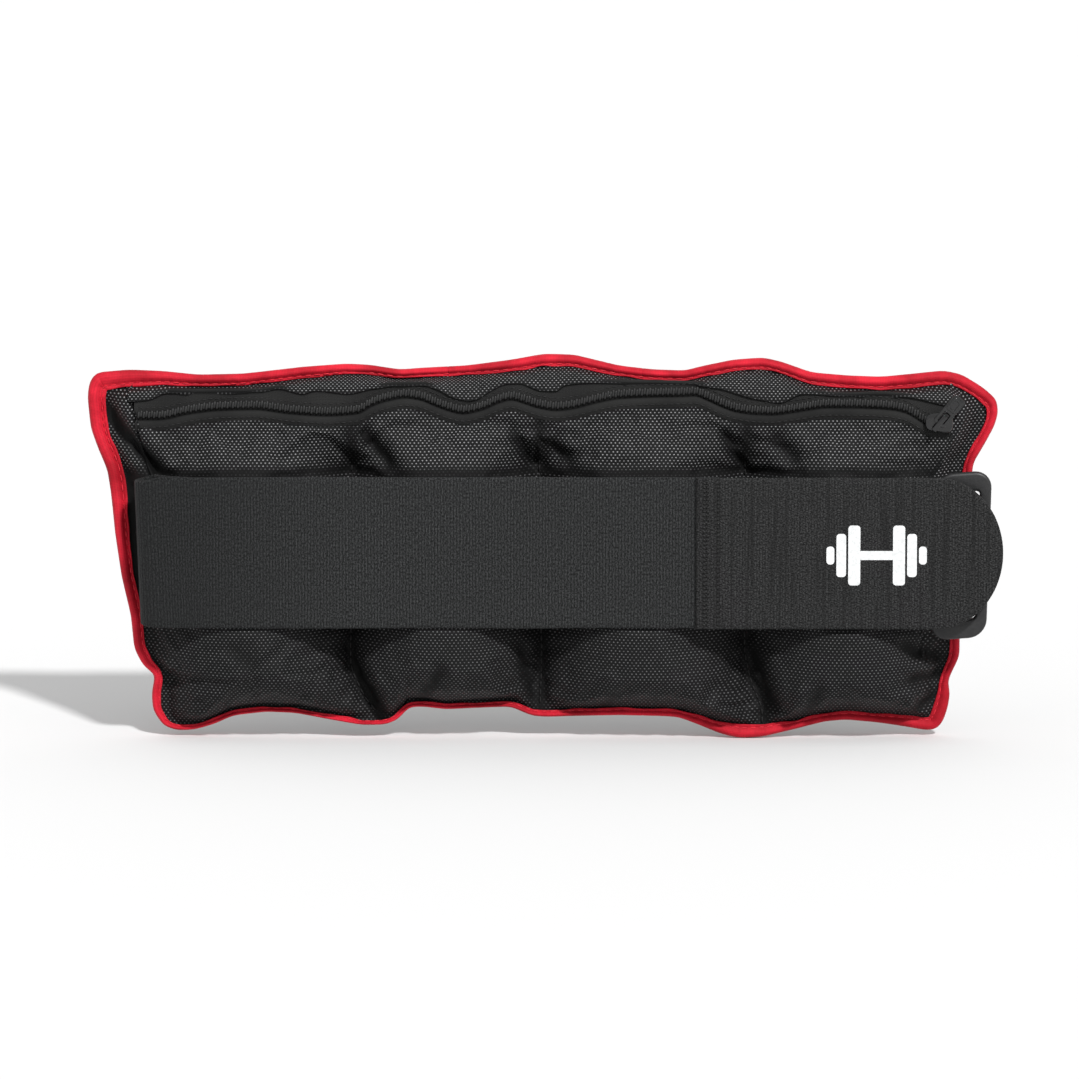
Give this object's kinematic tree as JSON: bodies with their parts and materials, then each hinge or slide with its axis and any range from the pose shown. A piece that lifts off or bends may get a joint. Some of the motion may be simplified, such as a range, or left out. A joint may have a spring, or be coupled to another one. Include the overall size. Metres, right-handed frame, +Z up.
{
  "type": "ankle cuff weight",
  "caption": "Soft ankle cuff weight: stitched pouches of iron sand in a zipped fabric cuff with bound edges, an elastic hook strap and a plastic strap ring.",
  "frame": {"origin": "centre of the bounding box's base: the cuff stands on its lower bound edge", "axes": "+X along the cuff towards the ring, +Y towards the leg side, +Z up; the strap, zip and ring face -Y"},
  "size_m": [0.304, 0.035, 0.129],
  "materials": {
    "pouch_fabric": "black dobby-weave polyester with raised dots",
    "back_fabric": "plain black polyester, leg side",
    "bag_nylon": "grey nylon inner bag",
    "iron_sand": "loose iron sand",
    "zip_tape": "black woven zip tape",
    "zip_coil": "black nylon coil",
    "binding": "red folded binding tape",
    "elastic": "charcoal ribbed elastic",
    "hook_tape": "charcoal hook tape, woven back",
    "webbing": "black webbing",
    "ring_plastic": "satin dark grey moulded plastic",
    "slider_metal": "black enamelled zinc"
  },
  "bodies": {
    "pouch_1": {"front_panel_1": "pouch_fabric", "front_strip_1": "pouch_fabric", "back_panel_1": "back_fabric", "weight_bag_1": "bag_nylon", "iron_sand_1": "iron_sand", "zip_tape_lower_1": "zip_tape", "zip_tape_upper_1": "zip_tape", "zip_coil_1": "zip_coil", "binding_top_1": "binding", "binding_bottom_1": "binding", "binding_left_end": "binding", "zip_end_patch_left": "pouch_fabric", "strap_anchor": "elastic"},
    "pouch_2": {"front_panel_2": "pouch_fabric", "front_strip_2": "pouch_fabric", "back_panel_2": "back_fabric", "weight_bag_2": "bag_nylon", "iron_sand_2": "iron_sand", "zip_tape_lower_2": "zip_tape", "zip_tape_upper_2": "zip_tape", "zip_coil_2": "zip_coil", "binding_top_2": "binding", "binding_bottom_2": "binding"},
    "pouch_3": {"front_panel_3": "pouch_fabric", "front_strip_3": "pouch_fabric", "back_panel_3": "back_fabric", "weight_bag_3": "bag_nylon", "iron_sand_3": "iron_sand", "zip_tape_lower_3": "zip_tape", "zip_tape_upper_3": "zip_tape", "zip_coil_3": "zip_coil", "binding_top_3": "binding", "binding_bottom_3": "binding"},
    "pouch_4": {"front_panel_4": "pouch_fabric", "front_strip_4": "pouch_fabric", "back_panel_4": "back_fabric", "weight_bag_4": "bag_nylon", "iron_sand_4": "iron_sand", "zip_tape_lower_4": "zip_tape", "zip_tape_upper_4": "zip_tape", "zip_coil_4": "zip_coil", "binding_top_4": "binding", "binding_bottom_4": "binding", "binding_right_end": "binding", "zip_end_patch_right": "pouch_fabric", "ring_webbing": "webbing"},
    "strap": {"strap_fold": "elastic", "strap_band": "elastic", "strap_hook_tab": "hook_tape"},
    "ring": {"strap_ring": "ring_plastic"},
    "slider": {"zip_slider": "slider_metal"},
    "puller": {"zip_puller": "slider_metal"}
  },
  "joints": [
    {"name": "seam_1_fold", "type": "hinge", "parent": "pouch_2", "child": "pouch_1", "pos_m": [-0.064, 0.00882, 0.06], "axis": [0, 0, -1], "range_deg": [0, 75]},
    {"name": "seam_2_fold", "type": "hinge", "parent": "pouch_2", "child": "pouch_3", "pos_m": [-0.0015, 0.00882, 0.06], "axis": [0, 0, 1], "range_deg": [0, 75]},
    {"name": "seam_3_fold", "type": "hinge", "parent": "pouch_3", "child": "pouch_4", "pos_m": [0.067, 0.00882, 0.06], "axis": [0, 0, 1], "range_deg": [0, 75]},
    {"name": "strap_open", "type": "hinge", "parent": "pouch_1", "child": "strap", "pos_m": [-0.1295, -0.00918, 0.0651], "axis": [0, 0, -1], "range_deg": [0, 180], "deforming": ["strap_fold"]},
    {"name": "ring_swing", "type": "hinge", "parent": "pouch_4", "child": "ring", "pos_m": [0.1307, -0.00958, 0.06285], "axis": [0, 0, 1], "range_deg": [-14, 40]},
    {"name": "zip_slide", "type": "slide", "parent": "pouch_4", "child": "slider", "axis": [1, 0, 0], "range_m": [-0.256, 0]},
    {"name": "puller_flip", "type": "hinge", "parent": "slider", "child": "puller", "pos_m": [0.131, -0.00688, 0.1074], "axis": [0.766, 0, -0.6428], "range_deg": [0, 150]}
  ]
}
